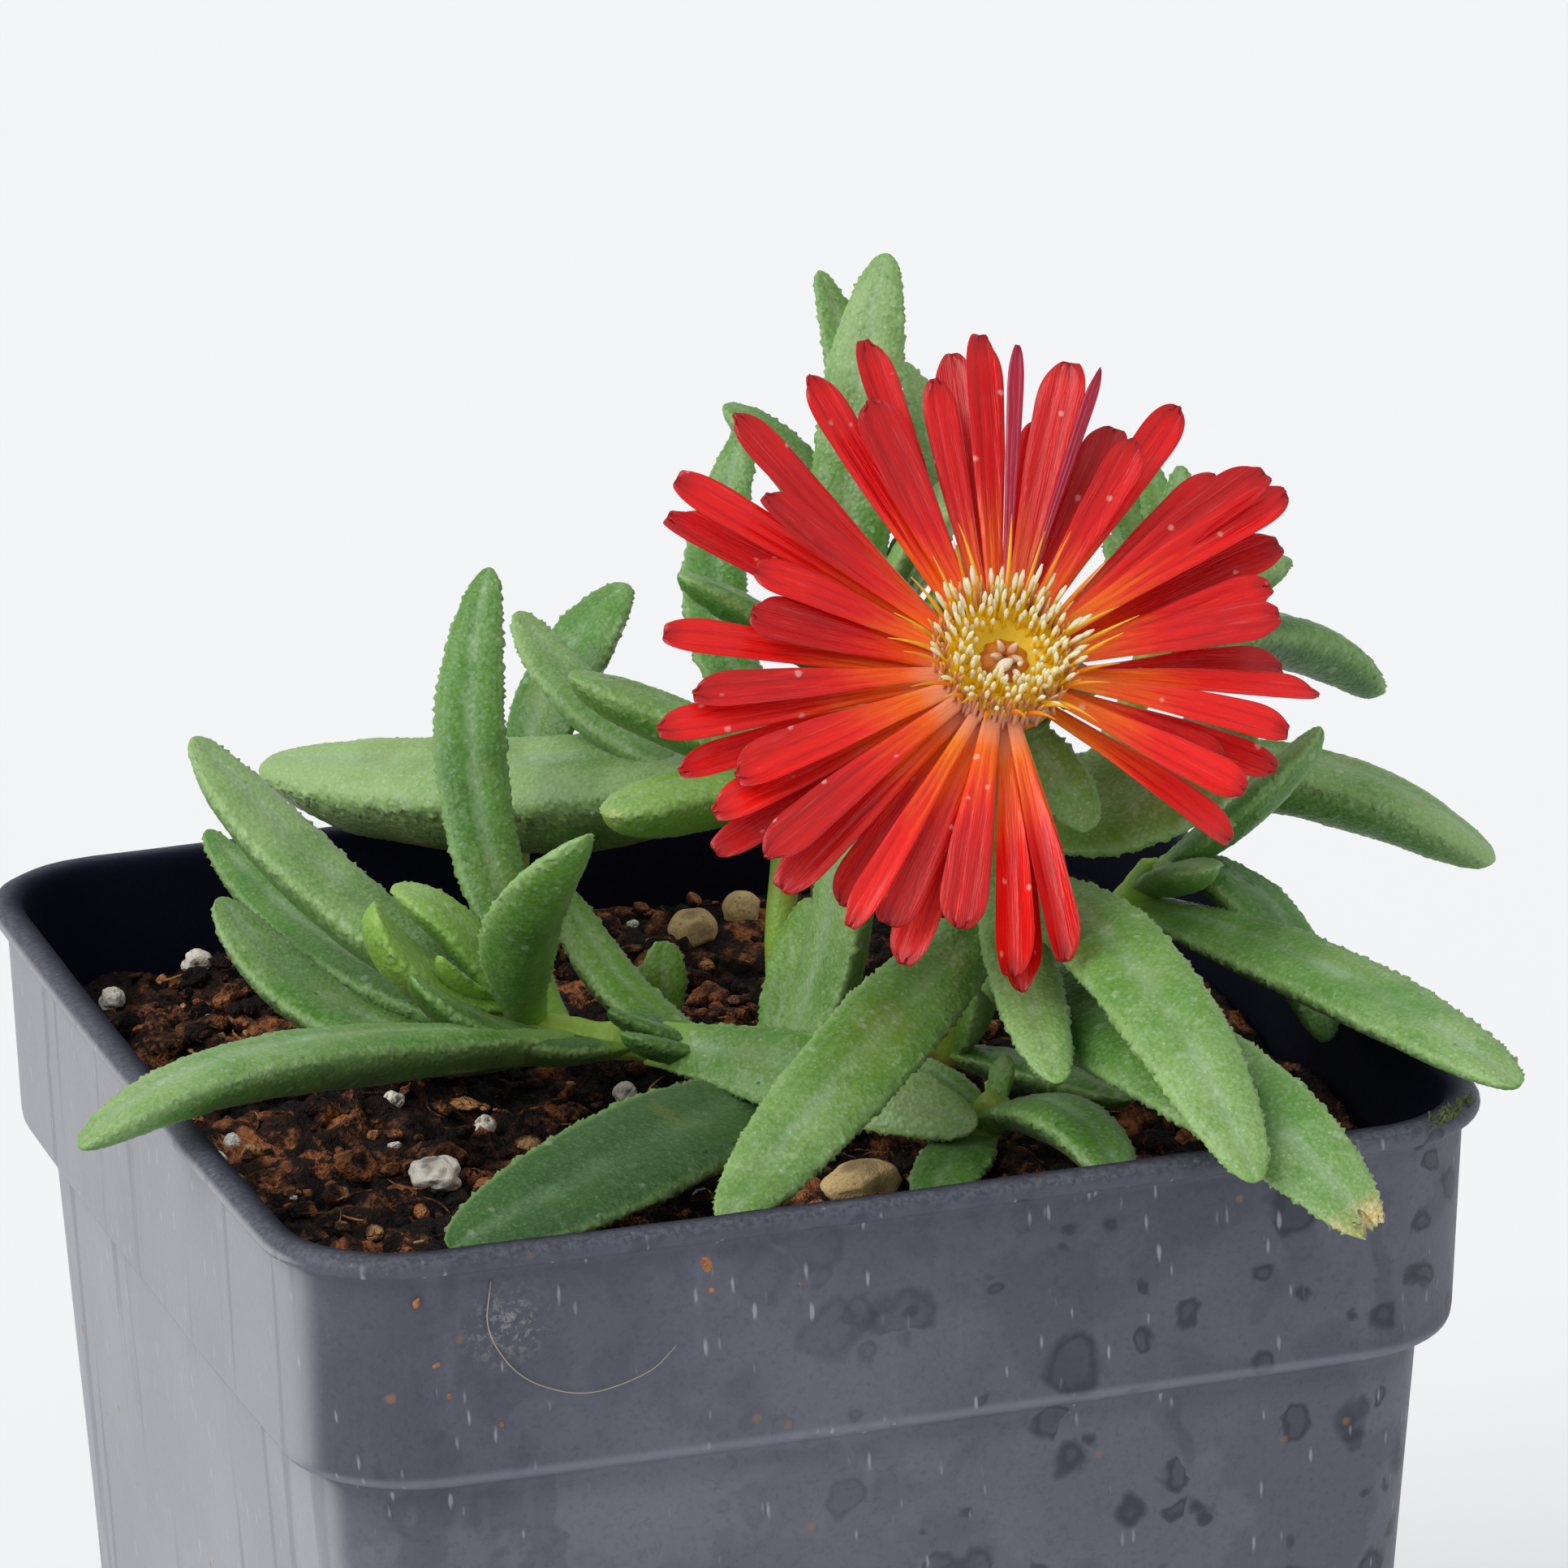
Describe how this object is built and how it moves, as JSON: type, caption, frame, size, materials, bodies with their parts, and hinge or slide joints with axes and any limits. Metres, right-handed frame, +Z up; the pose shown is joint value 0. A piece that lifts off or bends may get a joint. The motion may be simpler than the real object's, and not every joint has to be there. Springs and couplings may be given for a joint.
{
  "type": "potted ice plant",
  "caption": "Ice plant with fleshy keeled leaves and one open red flower with a yellow middle, growing in a square dark plastic nursery pot with a banded rim",
  "frame": {"origin": "the middle of the pot's underside", "axes": "+Z up; the pot's flat sides face -X, +X, -Y and +Y, and the flower leans towards -Y"},
  "size_m": [0.1121, 0.1019, 0.1349],
  "materials": {
    "pot_plastic": "thin moulded plastic, slate grey, satin, with dried water spots",
    "soil": "moist peat and bark potting mix, matt",
    "perlite": "chalky white expanded stone, matt",
    "grit": "tan grit, matt",
    "leaf": "fleshy grey-green leaf covered in tiny clear bumps, satin",
    "petal": "silky red petal, orange at the foot",
    "stamen": "yellow threads with cream pollen sacs",
    "ovary": "orange brown seed vessel"
  },
  "bodies": {
    "root": {"pot": "pot_plastic", "soil": "soil", "perlite_1": "perlite", "perlite_2": "perlite", "perlite_3": "perlite", "perlite_4": "perlite", "perlite_5": "perlite", "perlite_6": "perlite", "perlite_7": "perlite", "grit_1": "grit", "grit_2": "grit", "grit_3": "grit", "grit_4": "grit", "left_shoot": "leaf", "flower_shoot": "leaf", "right_shoot": "leaf", "back_right_shoot": "leaf", "top_shoot": "leaf", "back_left_shoot": "leaf", "far_shoot": "leaf", "front_shoot": "leaf", "sprout": "leaf", "petals": "petal", "stamens": "stamen", "ovary": "ovary"}
  },
  "joints": []
}
